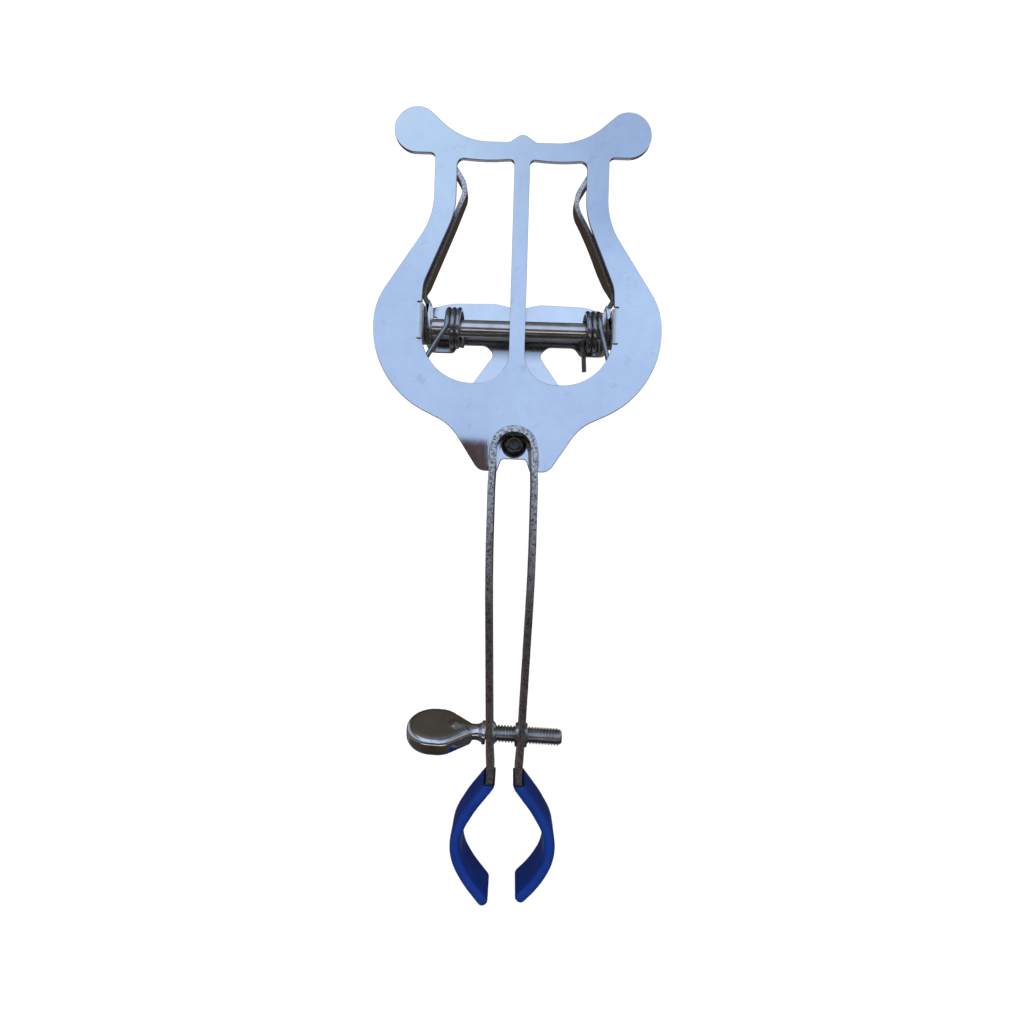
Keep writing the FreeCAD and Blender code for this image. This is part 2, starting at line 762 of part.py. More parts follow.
make_lyre_plate()
make_rear_clamp()
make_hinge_pin()
make_hinge_sleeve()
make_spring("Left", 17.6, (22.4, 7.27, 109.3), (14.0, 17.75, 114.6))
make_spring("Right", 20.5, (22.4, 7.27, 109.3), (17.3, 17.75, 110.2))
make_stem_bend()
for side, word in ((-1, "Left"), (1, "Right")):
    make_leg(side, word)
    make_jaw_sleeve(side, word)
make_stem_rivet()
make_braze_bead()
make_thumb_screw()
write_parts()
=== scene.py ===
"""Looks for the clip-on music lyre: plated pressings, wire springs, a hairpin stem and dipped jaws.

Lengths are in millimetres in the code and become metres when a mesh is made. The frame is the CAD model's:
the origin is the centre of the ring between the jaws, +Z runs up the stem, +X right and +Y to the back.
"""

import math

import bpy
from mathutils import Matrix, Vector, noise
from mathutils.geometry import tessellate_polygon


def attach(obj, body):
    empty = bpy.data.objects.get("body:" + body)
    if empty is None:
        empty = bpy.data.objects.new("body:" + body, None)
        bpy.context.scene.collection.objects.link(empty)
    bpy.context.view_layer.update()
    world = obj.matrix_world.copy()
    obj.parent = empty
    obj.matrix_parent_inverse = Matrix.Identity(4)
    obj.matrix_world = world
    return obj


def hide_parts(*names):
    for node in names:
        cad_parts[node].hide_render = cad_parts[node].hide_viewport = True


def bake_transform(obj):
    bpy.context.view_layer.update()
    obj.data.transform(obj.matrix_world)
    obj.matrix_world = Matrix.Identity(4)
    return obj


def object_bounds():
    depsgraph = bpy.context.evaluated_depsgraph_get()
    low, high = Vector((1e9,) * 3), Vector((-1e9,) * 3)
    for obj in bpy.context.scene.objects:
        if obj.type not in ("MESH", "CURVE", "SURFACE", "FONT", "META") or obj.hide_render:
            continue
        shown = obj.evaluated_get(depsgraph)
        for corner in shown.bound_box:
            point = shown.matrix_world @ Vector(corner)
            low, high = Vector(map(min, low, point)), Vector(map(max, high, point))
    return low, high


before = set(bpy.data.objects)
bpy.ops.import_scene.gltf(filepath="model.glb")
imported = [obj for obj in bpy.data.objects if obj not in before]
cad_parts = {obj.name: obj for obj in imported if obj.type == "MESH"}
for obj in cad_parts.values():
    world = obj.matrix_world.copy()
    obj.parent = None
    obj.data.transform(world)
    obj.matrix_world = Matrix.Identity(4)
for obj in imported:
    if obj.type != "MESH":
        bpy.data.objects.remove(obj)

MM = 0.001
cad_low, cad_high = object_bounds()

# ---------------------------------------------------------------- dimensions

PLATE_FRONT, PLATE_THICKNESS, PLATE_BOTTOM = 5.4, 1.2, 83.7
EAR_MIDDLE, EAR_HALF, EAR_RELIEF = 23.0, 4.2, 0.25
HINGE_Y, HINGE_Z = 11.9, 118.9
CLAMP_FRONT, CLAMP_THICKNESS, FLANGE_MIDDLE = 18.45, 1.15, 21.675
WIRE, COIL_RADIUS, COIL_PITCH, COIL_TURNS = 0.6, 4.4, 1.29, 2.5
STRIP_THICKNESS, STRIP_WIDTH = 1.5, 10.8
BEND_RADIUS, BEND_TOP = 4.35, 92.55
RING_RADIUS, COAT, COAT_EDGE, COAT_TOP = 9.25, 0.475, 0.55, 13.6
LEG_TOP, LEG_FOOT = (4.85, 60.6), (3.45, 19.6)
LEAN = math.atan2(LEG_TOP[0] - LEG_FOOT[0], LEG_TOP[1] - LEG_FOOT[1])
SCREW_Z, SCREW_TIP, SCREW_PITCH = 23.35, 12.85, 0.7
OFF_PLANE = 0.004  # keeps the overlapping faces of one pressing out of each other's plane


# ---------------------------------------------------------------- lines and outlines


def unit(a, b):
    length = math.hypot(b[0] - a[0], b[1] - a[1])
    return (b[0] - a[0]) / length, (b[1] - a[1]) / length


def rounded(corners, closed=True, step=5.0, longest=1e9):
    """Points along straight lines joined by tangent arcs, for corners given as (a, b, radius)."""
    count = len(corners)
    points = []
    for i, (a, b, r) in enumerate(corners):
        if r < 1e-6 or (not closed and i in (0, count - 1)):
            points.append((a, b))
            continue
        before = unit(corners[i], corners[i - 1])
        after = unit(corners[i], corners[(i + 1) % count])
        half = math.acos(max(-1, min(1, before[0] * after[0] + before[1] * after[1]))) / 2
        way = unit((0, 0), (before[0] + after[0], before[1] + after[1]))
        centre = (a + way[0] * r / math.sin(half), b + way[1] * r / math.sin(half))
        reach = r / math.tan(half)
        start = math.atan2(b + before[1] * reach - centre[1], a + before[0] * reach - centre[0])
        turn = math.pi - 2 * half
        if before[0] * after[1] - before[1] * after[0] > 0:
            turn = -turn
        steps = max(2, math.ceil(abs(math.degrees(turn)) / step), math.ceil(abs(turn) * r / longest))
        for k in range(steps + 1):
            angle = start + turn * k / steps
            points.append((centre[0] + r * math.cos(angle), centre[1] + r * math.sin(angle)))
    line = []
    for i, p in enumerate(points):
        line.append(p)
        if i == len(points) - 1 and not closed:
            break
        q = points[(i + 1) % len(points)]
        pieces = math.ceil(math.dist(p, q) / longest)
        line += [(p[0] + (q[0] - p[0]) * k / pieces, p[1] + (q[1] - p[1]) * k / pieces)
                 for k in range(1, pieces)]
    return [p for i, p in enumerate(line) if i == 0 or math.dist(p, line[i - 1]) > 1e-4]


def mirrored(corners):
    return [(-corner[0], *corner[1:]) for corner in reversed(corners)]


def symmetric(half):
    """A closed outline from its right half, which runs from the lower middle to the upper middle."""
    return half + [corner for corner in mirrored(half) if abs(corner[0]) > 1e-9]


def turned_round(loop, anticlockwise):
    area = sum(p[0] * q[1] - q[0] * p[1] for p, q in zip(loop, loop[1:] + loop[:1]))
    return loop if (area > 0) == anticlockwise else list(reversed(loop))


def table(rows, at):
    """Straight lines between (position, value) rows, in order of position."""
    if at <= rows[0][0]:
        return rows[0][1]
    for (a, u), (b, v) in zip(rows, rows[1:]):
        if at <= b:
            return u + (v - u) * (at - a) / (b - a)
    return rows[-1][1]


# ---------------------------------------------------------------- meshes


def front_space(side=1):
    """For outlines drawn in X and Z, with their depth along +Y."""
    return lambda a, b, c: Vector((side * a, c, b))


def level_space(side=1):
    """For outlines drawn in X and Y, with their depth along Z."""
    return lambda a, b, c: Vector((side * a, b, c))


def build(name, points, normals, faces):
    """An object from points in millimetres. Each face is turned to agree with its points' normals."""
    ready = []
    for face in faces:
        newell = Vector((0, 0, 0))
        for i, j in zip(face, face[1:] + face[:1]):
            newell += points[i].cross(points[j])
        towards = sum((normals[i] for i in face), Vector((0, 0, 0)))
        ready.append(face if newell.dot(towards) >= 0 else list(reversed(face)))
    mesh = bpy.data.meshes.new(name)
    mesh.from_pydata([p * MM for p in points], [], ready)
    mesh.shade_smooth()
    mesh.normals_split_custom_set_from_vertices([n.normalized() for n in normals])
    item = bpy.data.objects.new(name, mesh)
    bpy.context.scene.collection.objects.link(item)
    return item


def rounded_section(half, low, high, radius, steps=3):
    """A rectangle with rounded corners as (u, v, normal u, normal v), u across the strip's thickness."""
    radius = max(0.01, min(radius, half * 0.999, (high - low) / 2 * 0.999))
    section = []
    for cu, cv, start in ((half, high, 0), (-half, high, 90), (-half, low, 180), (half, low, 270)):
        mu = cu - math.copysign(radius, cu)
        mv = cv - radius if cv == high else cv + radius
        for k in range(steps + 1):
            angle = math.radians(start + 90 * k / steps)
            section.append((mu + radius * math.cos(angle), mv + radius * math.sin(angle),
                            math.cos(angle), math.sin(angle)))
    return section


def sweep(name, path, width, half, radius, space, end_cap=0.0, closed_start=True, levelled=None):
    """A strip along a path in a plane. width gives its two edges, across the plane, at a point of the path.

    end_cap is the rounding of the far end. levelled cuts the start on a level plane, not square to the path.
    """
    tangents = []
    for i in range(len(path)):
        tangents.append(unit(path[max(0, i - 1)], path[min(len(path) - 1, i + 1)]))
    stations = [(p, t, 0.0, 0.0) for p, t in zip(path, tangents)]

    if end_cap:
        end, tangent = path[-1], unit(path[-2], path[-1])
        stations = [s for s in stations if math.dist(s[0], end) > end_cap * 1.05]
        for k in range(4):
            angle = math.radians(90 * k / 3)
            back = end_cap * (1 - math.sin(angle))
            point = (end[0] - tangent[0] * back, end[1] - tangent[1] * back)
            stations.append((point, tangent, end_cap * (1 - math.cos(angle)), math.sin(angle)))

    points, normals, rings = [], [], []
    across = space(0, 0, 1) - space(0, 0, 0)
    lengths = [0.0]
    for a, b in zip(stations, stations[1:]):
        lengths.append(lengths[-1] + math.dist(a[0], b[0]))
    edges = [width(*s[0]) for s in stations]
    for i, (point, tangent, inset, tip) in enumerate(stations):
        before, after = max(0, i - 1), min(len(stations) - 1, i + 1)
        run = max(1e-6, lengths[after] - lengths[before])
        slopes = [max(-20, min(20, (edges[after][k] - edges[before][k]) / run)) for k in (0, 1)]
        low, high = edges[i]
        section = rounded_section(half - inset, low + inset, high - inset, radius - inset)
        side = (-tangent[1], tangent[0])
        along = space(*tangent, 0) - space(0, 0, 0)
        sideways = space(*side, 0) - space(0, 0, 0)
        ring = []
        for u, v, nu, nv in section:
            shift = 0.0
            if levelled is not None and lengths[i] < 2.0 and abs(tangent[1]) > 0.2:
                share = 1 - lengths[i] / 2.0
                shift = (levelled + tangent[1] * lengths[i] - point[1] - side[1] * u) / tangent[1] * share
            a = point[0] + side[0] * u + tangent[0] * shift
            b = point[1] + side[1] * u + tangent[1] * shift
            ring.append(len(points))
            points.append(space(a, b, v))
            edge = across - along * slopes[1] if nv > 0 else -across + along * slopes[0]
            normal = sideways * nu + edge.normalized() * abs(nv)
            normals.append(normal * math.cos(math.asin(abs(tip))) + along * tip)
        rings.append(ring)
    faces = []
    for r, s in zip(rings, rings[1:]):
        faces += [[r[k], r[(k + 1) % len(r)], s[(k + 1) % len(s)], s[k]] for k in range(len(r))]
    if closed_start:
        faces.append(list(rings[0]))
    faces.append(list(rings[-1]))
    return build(name, points, normals, faces)


def stamping(name, outer, holes, thickness, radius, space, front=0.0, steps=3):
    """A flat pressing whose edges are rounded over by that radius, from closed outlines."""
    loops = [turned_round(outer, True)] + [turned_round(hole, False) for hole in holes]
    profile = []
    for k in range(steps + 1):
        angle = math.radians(90 * k / steps)
        out, into = math.sin(angle), math.cos(angle)
        profile.append((radius * (1 - out), radius * (1 - into), out, -into))
    profile += [(inset, thickness - depth, out, -into) for inset, depth, out, into in reversed(profile)]
    points, normals, faces = [], [], []
    straight = space(0, 0, 1) - space(0, 0, 0)
    fronts, backs = [], []
    for loop in loops:
        count = len(loop)
        rings = []
        inward = []
        for i in range(count):
            e, f = unit(loop[i - 1], loop[i]), unit(loop[i], loop[(i + 1) % count])
            n1, n2 = (-e[1], e[0]), (-f[1], f[0])
            scale = 1 / max(0.5, 1 + n1[0] * n2[0] + n1[1] * n2[1])
            inward.append(((n1[0] + n2[0]) * scale, (n1[1] + n2[1]) * scale))
        for inset, depth, out, into in profile:
            ring = []
            for (a, b), (ia, ib) in zip(loop, inward):
                ring.append(len(points))
                points.append(space(a + ia * inset, b + ib * inset, front + depth))
                outward = (space(-ia, -ib, 0) - space(0, 0, 0)).normalized()
                normals.append(outward * out + straight * into)
            rings.append(ring)
        for r, s in zip(rings, rings[1:]):
            faces += [[r[k], r[(k + 1) % count], s[(k + 1) % count], s[k]] for k in range(count)]
        fronts.append(rings[0])
        backs.append(rings[-1])
    for side in (fronts, backs):
        order = [index for ring in side for index in ring]
        for triangle in tessellate_polygon([[points[index] for index in ring] for ring in side]):
            faces.append([order[k] for k in triangle])
    return build(name, points, normals, faces)


def lathe(name, profile, space, segments=48, shape=None):
    """A turned piece about the first axis of the space, from (x, radius) points."""
    points, normals, rings = [], [], []
    for i, (x, r) in enumerate(profile):
        t = unit(profile[max(0, i - 1)], profile[min(len(profile) - 1, i + 1)])
        ring = []
        for k in range(1 if r < 1e-6 else segments):
            angle = 2 * math.pi * k / segments
            c, s = math.cos(angle), math.sin(angle)
            ring.append(len(points))
            place = space(x, r * c, r * s)
            points.append(shape(place) if shape else place)
            normals.append(space(-t[1], t[0] * c, t[0] * s) - space(0, 0, 0))
        rings.append(ring)
    faces = []
    for r, s in zip(rings, rings[1:]):
        for k in range(segments):
            quad = [r[k % len(r)], r[(k + 1) % len(r)], s[(k + 1) % len(s)], s[k % len(s)]]
            face = [index for j, index in enumerate(quad) if index not in quad[:j]]
            if len(face) > 2:
                faces.append(face)
    return build(name, points, normals, faces)


def tube(name, path, radii, segments=16):
    """A round wire along points in space, closed at both ends."""
    frames = []
    tangent = (path[1] - path[0]).normalized()
    side = tangent.orthogonal().normalized()
    for i, p in enumerate(path):
        tangent = (path[min(i + 1, len(path) - 1)] - path[max(0, i - 1)]).normalized()
        side = (side - tangent * side.dot(tangent)).normalized()
        frames.append((p, tangent, side))
    points, normals, rings = [], [], []
    for (p, tangent, side), radius in zip(frames, radii):
        other = tangent.cross(side)
        ring = []
        for k in range(segments):
            angle = 2 * math.pi * k / segments
            way = side * math.cos(angle) + other * math.sin(angle)
            ring.append(len(points))
            points.append(p + way * radius)
            normals.append(way)
        rings.append(ring)
    faces = []
    for r, s in zip(rings, rings[1:]):
        faces += [[r[k], r[(k + 1) % segments], s[(k + 1) % segments], s[k]] for k in range(segments)]
    return build(name, points, normals, faces + [list(rings[0]), list(rings[-1])])


def joined(name, items):
    """One object from several, whose meshes are kept as they are."""
    with bpy.context.temp_override(active_object=items[0], selected_objects=items,
                                   selected_editable_objects=items):
        bpy.ops.object.join()
    items[0].name = name
    items[0].data.name = name
    return items[0]


def applied(item):
    """The item's mesh with its modifiers applied."""
    graph = bpy.context.evaluated_depsgraph_get()
    mesh = bpy.data.meshes.new_from_object(item.evaluated_get(graph))
    item.modifiers.clear()
    item.data = mesh
    return item


# ---------------------------------------------------------------- materials


class Nodes:
    """A short way to write a node tree."""

    def __init__(self, tree):
        self.tree = tree

    def add(self, kind, inputs=None, **settings):
        item = self.tree.nodes.new(kind)
        for key, value in settings.items():
            setattr(item, key, value)
        for key, value in (inputs or {}).items():
            if isinstance(value, bpy.types.NodeSocket):
                self.tree.links.new(value, item.inputs[key])
            else:
                item.inputs[key].default_value = value
        return item

    def noise(self, place, scale, detail=3.0, rough=0.55):
        return self.add("ShaderNodeTexNoise", {"Vector": place, "Scale": scale, "Detail": detail,
                                               "Roughness": rough}).outputs["Fac"]

    def maths(self, operation, a, b=0.0):
        return self.add("ShaderNodeMath", {0: a, 1: b}, operation=operation).outputs[0]

    def spread(self, value, low, high, to_low=0.0, to_high=1.0, smooth=False):
        kind = "SMOOTHSTEP" if smooth else "LINEAR"
        limits = {"Value": value, "From Min": low, "From Max": high, "To Min": to_low, "To Max": to_high}
        return self.add("ShaderNodeMapRange", limits, interpolation_type=kind).outputs["Result"]

    def mix(self, share, a, b):
        item = self.add("ShaderNodeMix", {"Factor": share}, data_type="RGBA")
        sockets = [s for s in item.inputs if s.type == "RGBA"]
        for socket, value in zip(sockets, (a, b)):
            if isinstance(value, bpy.types.NodeSocket):
                self.tree.links.new(value, socket)
            else:
                socket.default_value = (*value, 1.0)
        return next(s for s in item.outputs if s.type == "RGBA")

    def bump(self, height, distance, strength=1.0, normal=None):
        inputs = {"Height": height, "Distance": distance, "Strength": strength}
        if normal is not None:
            inputs["Normal"] = normal
        return self.add("ShaderNodeBump", inputs).outputs["Normal"]


def new_material(name):
    material = bpy.data.materials.new(name)
    material.use_nodes = True
    shader = material.node_tree.nodes["Principled BSDF"]
    return material, Nodes(material.node_tree), shader


def plated(name, bright, dull, rough, ripple, ripple_scale, sheared=None, speck=0.00005, stretch=(1, 1, 1),
           worn=0.07, grit=0.75, brown_below=None, painted_shade=None):
    """Bright nickel plate: faint ripples and smears, fine wiping marks, and grainy sheared edges.

    sheared says which faces are cut edges: "front" for those facing front and back, "rim" for the others.
    brown_below gives the heights between which the cut edges go from dark brown, lower down, up to bright
    plate.
    painted_shade gives the heights of a band of painted shade on the front face, as (start, full, full, end).
    rough is the roughness of clean plate and worn is what rubbed patches add. ripple is the depth of the
    ripples and speck that of the cut edges' grain, in metres. grit is how dark the grain's pits are, 0 to 1.
    stretch below 1 draws the wiping marks out along that axis.
    """
    material, nodes, shader = new_material(name)
    place = nodes.add("ShaderNodeTexCoord").outputs["Object"]
    facing = nodes.add("ShaderNodeTexCoord").outputs["Normal"]
    shader.inputs["Metallic"].default_value = 1.0
    smear = nodes.noise(place, 95.0, 4.0, 0.6)
    patch = nodes.noise(place, 420.0, 5.0, 0.65)
    cloud = nodes.maths("ADD", nodes.maths("MULTIPLY", smear, 0.7), nodes.maths("MULTIPLY", patch, 0.3))
    tint = nodes.spread(cloud, 0.36, 0.62)
    wiped = nodes.add("ShaderNodeMapping", {"Vector": place, "Scale": stretch}).outputs["Vector"]
    marks = nodes.noise(wiped, 900.0, 3.0, 0.6)
    normal = nodes.bump(nodes.noise(place, ripple_scale, 1.5, 0.4), ripple)
    normal = nodes.bump(marks, 0.000004, 1.0, normal)
    roughness = nodes.spread(patch, 0.3, 0.75, rough, rough + worn)
    colour = nodes.mix(tint, dull, bright)
    smudge = nodes.spread(nodes.noise(place, 260.0, 3.0, 0.7), 0.60, 0.74, 0.0, 0.30)
    colour = nodes.mix(smudge, colour, tuple(part * 0.62 for part in dull))
    height = nodes.add("ShaderNodeSeparateXYZ", {"Vector": place}).outputs["Z"]
    # Painted shade: the front face darkens between the given heights.
    if painted_shade:
        band = nodes.maths("MULTIPLY", nodes.spread(height, painted_shade[0], painted_shade[1], smooth=True),
                           nodes.spread(height, painted_shade[2], painted_shade[3], 1.0, 0.0, smooth=True))
        forward = nodes.add("ShaderNodeSeparateXYZ", {"Vector": facing}).outputs["Y"]
        band = nodes.maths("MULTIPLY", band, nodes.spread(forward, -0.9, -0.4, 1.0, 0.0))
        colour = nodes.mix(nodes.maths("MULTIPLY", band, 0.8), colour, (0.12, 0.11, 0.11))
    if sheared:
        y = nodes.maths("ABSOLUTE", nodes.add("ShaderNodeSeparateXYZ", {"Vector": facing}).outputs["Y"])
        cut = nodes.spread(y, 0.7, 0.92, smooth=True)
        if sheared == "rim":
            cut = nodes.maths("SUBTRACT", 1.0, cut)
        grain = nodes.noise(place, 2700.0, 2.5, 0.65)
        cells = nodes.add("ShaderNodeTexVoronoi", {"Vector": place, "Scale": 2400.0, "Randomness": 1.0})
        pits = nodes.maths("ADD", nodes.maths("MULTIPLY", grain, 0.8),
                           nodes.maths("MULTIPLY", cells.outputs["Distance"], 0.5))
        normal = nodes.bump(nodes.maths("MULTIPLY", pits, cut), speck, 1.0, normal)
        dark = nodes.maths("MULTIPLY", nodes.spread(grain, 0.38, 0.56, 1.0, 0.0), cut)
        # Cut edges go darker brown lower down, between the two given heights.
        if brown_below:
            brown_share = nodes.maths("MULTIPLY", nodes.spread(height, brown_below[0], brown_below[1], 0.9, 0.0), cut)
            colour = nodes.mix(brown_share, colour, (0.13, 0.095, 0.088))
        colour = nodes.mix(nodes.maths("MULTIPLY", dark, grit), colour, (0.07, 0.055, 0.05))
        roughness = nodes.maths("ADD", roughness, nodes.maths("MULTIPLY", cut, 0.16))
    links = material.node_tree.links
    links.new(colour, shader.inputs["Base Color"])
    links.new(roughness, shader.inputs["Roughness"])
    links.new(normal, shader.inputs["Normal"])
    return material


def dipped_vinyl():
    """Blue dip coating: satin and a little uneven in thickness, with paler flecks that are partly rubbed wear
    and partly painted sheen.
    """
    material, nodes, shader = new_material("dipped_vinyl")
    place = nodes.add("ShaderNodeTexCoord").outputs["Object"]
    broad = nodes.noise(place, 160.0, 3.0)
    fine = nodes.noise(place, 2600.0, 4.0, 0.6)
    colour = nodes.mix(nodes.spread(broad, 0.32, 0.7), (0.0, 0.0115, 0.098), (0.0, 0.0155, 0.130))
    # Paler flecks: partly rubbed wear, partly painted sheen.
    colour = nodes.mix(nodes.spread(fine, 0.62, 0.80, 0.0, 0.30), colour, (0.003, 0.028, 0.14))
    normal = nodes.bump(broad, 0.00012)
    normal = nodes.bump(fine, 0.000010, 1.0, normal)
    links = material.node_tree.links
    links.new(colour, shader.inputs["Base Color"])
    links.new(nodes.spread(fine, 0.3, 0.7, 0.36, 0.50), shader.inputs["Roughness"])
    links.new(normal, shader.inputs["Normal"])
    shader.inputs["Specular IOR Level"].default_value = 0.13
    return material


PLATE_METAL = plated("nickel_plate_flat", (0.89, 0.90, 0.91), (0.81, 0.82, 0.85), 0.032, 0.00006, 55.0,
                     sheared="rim", speck=0.00001, stretch=(1, 1, 0.12), worn=0.02, grit=0.25)
# The clamp's face gets a band of painted shade round and under the hinge tube.
CLAMP_METAL = plated("nickel_plate_clamp", (0.97, 0.98, 0.97), (0.90, 0.91, 0.90), 0.09, 0.00008, 70.0,
                     sheared="rim", speck=0.00002, stretch=(1, 1, 0.15), grit=0.3,
                     painted_shade=(0.1120, 0.1165, 0.1205, 0.1225))
ARM_METAL = plated("nickel_plate_arms", (0.84, 0.83, 0.84), (0.66, 0.62, 0.58), 0.13, 0.00006, 90.0,
                   sheared="front", speck=0.00003, stretch=(1, 1, 0.1), brown_below=(0.1440, 0.1490))
STRIP_METAL = plated("nickel_plate_strip", (0.94, 0.97, 0.97), (0.82, 0.85, 0.85), 0.13, 0.00004, 120.0,
                     sheared="front", speck=0.00004, stretch=(1, 1, 0.1), grit=0.85, brown_below=(0.0500, 0.0860))
TUBE_METAL = plated("nickel_plate_tube", (0.82, 0.81, 0.80), (0.66, 0.63, 0.60), 0.15, 0.00001, 160.0,
                    stretch=(0.08, 1, 1))
PIN_METAL = plated("nickel_plate_pin", (0.80, 0.80, 0.81), (0.66, 0.64, 0.62), 0.16, 0.00002, 300.0)
# Painted shade: the spring wire is darker than the other plated metal, so that its coils read dark.
WIRE_SHADED_METAL = plated("nickel_plate_wire", (0.50, 0.51, 0.53), (0.26, 0.26, 0.27), 0.14, 0.00001, 500.0)
# Painted shade: the rivet's near-black colour stands for the dark hollow of the bend where its head sits.
RIVET_SHADED_METAL = plated("nickel_plate_rivet", (0.13, 0.13, 0.13), (0.05, 0.05, 0.05), 0.24, 0.00012, 900.0)
BRAZE_METAL = plated("nickel_plate_braze", (0.88, 0.95, 0.96), (0.52, 0.56, 0.58), 0.30, 0.00025, 1500.0)
SCREW_METAL = plated("nickel_plate_screw", (0.86, 0.86, 0.88), (0.72, 0.71, 0.70), 0.06, 0.00006, 130.0)
# Painted shade: the thread is a darker copy of the screw's metal, for the shade between the legs.
THREAD_SHADED_METAL = plated("nickel_plate_thread", (0.66, 0.65, 0.65), (0.34, 0.32, 0.31), 0.16, 0.00004, 400.0)
VINYL = dipped_vinyl()


def finish(item, material, body=None, stands_for=()):
    item.data.materials.clear()
    item.data.materials.append(material)
    if body:
        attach(item, body)
    if stands_for:
        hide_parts(*stands_for)
    return item


# ---------------------------------------------------------------- lyre plate


def make_lyre_plate():
    ball_x, ball_z, ball_r = 25.0, 80.35, 5.45  # the right ball; its height is above the plate's bottom
    right = [
        (0, 2.9, 0), (2.9, 2.9, 1.0), (3.9, 0, 0.4), (8.35, 0, 3.0), (15.4, 10.8, 12.0), (34.2, 19.75, 22.0),
        (34.2, 38.9, 16.0), (20.65, 59.8, 18.0), (20.65, 74.9, 1.2),
        (ball_x + ball_r, ball_z - ball_r, ball_r - 0.01), (ball_x + ball_r, ball_z + ball_r, ball_r - 0.01),
        (23.08, 85.8, 5.0), (14.25, 77.95, 16.5), (3.2, 77.95, 1.6), (0, 80.15, 2.0),
    ]
    window = [
        (1.85, 20.7, 7.5), (22.75, 20.7, 12.0), (22.75, 43.7, 8.0), (15.45, 61.35, 20.0), (15.45, 73.9, 1.6),
        (8.4, 73.3, 45.0), (1.85, 73.9, 1.1),
    ]
    outline = rounded(symmetric(right), step=3.0, longest=4.0)
    opening = turned_round(rounded(window, step=3.0, longest=4.0), True)

    hinge = HINGE_Z - PLATE_BOTTOM
    low, high, deep = hinge - EAR_HALF - EAR_RELIEF, hinge + EAR_HALF + EAR_RELIEF, EAR_MIDDLE + 0.9
    notched = []
    for a, b in opening:
        if a > 20 and low < b < high:
            if notched and notched[-1] != "notch":
                notched.append("notch")
        else:
            notched.append((a, b))
    where = notched.index("notch")
    relief = [(22.48, low, 0), (deep, low, 0.4), (deep, high, 0.4), (22.75, high, 0)]
    notched[where:where + 1] = rounded(relief, closed=False, step=15.0)

    def raised(loop, side=1):
        return [(side * a, PLATE_BOTTOM + b) for a, b in loop]

    windows = [raised(notched), raised(notched, -1)]
    plate = stamping("plate_face", raised(outline), windows, PLATE_THICKNESS, 0.16,
                     front_space(), PLATE_FRONT)
    ears = []
    for side, word in ((1, "right"), (-1, "left")):
        middle = PLATE_FRONT + PLATE_THICKNESS / 2
        corners = [(24.7, middle, 0), (EAR_MIDDLE, middle, 0.9), (EAR_MIDDLE, HINGE_Y, 0)]
        line = rounded(corners, closed=False, step=8.0)
        line += [(EAR_MIDDLE, HINGE_Y + EAR_HALF * math.sin(math.radians(t)))
                 for t in (15, 30, 42, 54, 64, 73, 80, 86)]

        def height(x, y):
            beyond = max(0.0, y - HINGE_Y)
            half = math.sqrt(max(0.05, EAR_HALF ** 2 - beyond ** 2))
            return HINGE_Z - half, HINGE_Z + half

        half_sheet = PLATE_THICKNESS / 2 + OFF_PLANE
        ears.append(sweep(word + "_ear", line, height, half_sheet, 0.15, level_space(side)))
    plate = joined("lyre_pressing", [plate] + ears)
    return finish(plate, PLATE_METAL, "lyre", ["lyre_plate"])


# ---------------------------------------------------------------- rear clamp


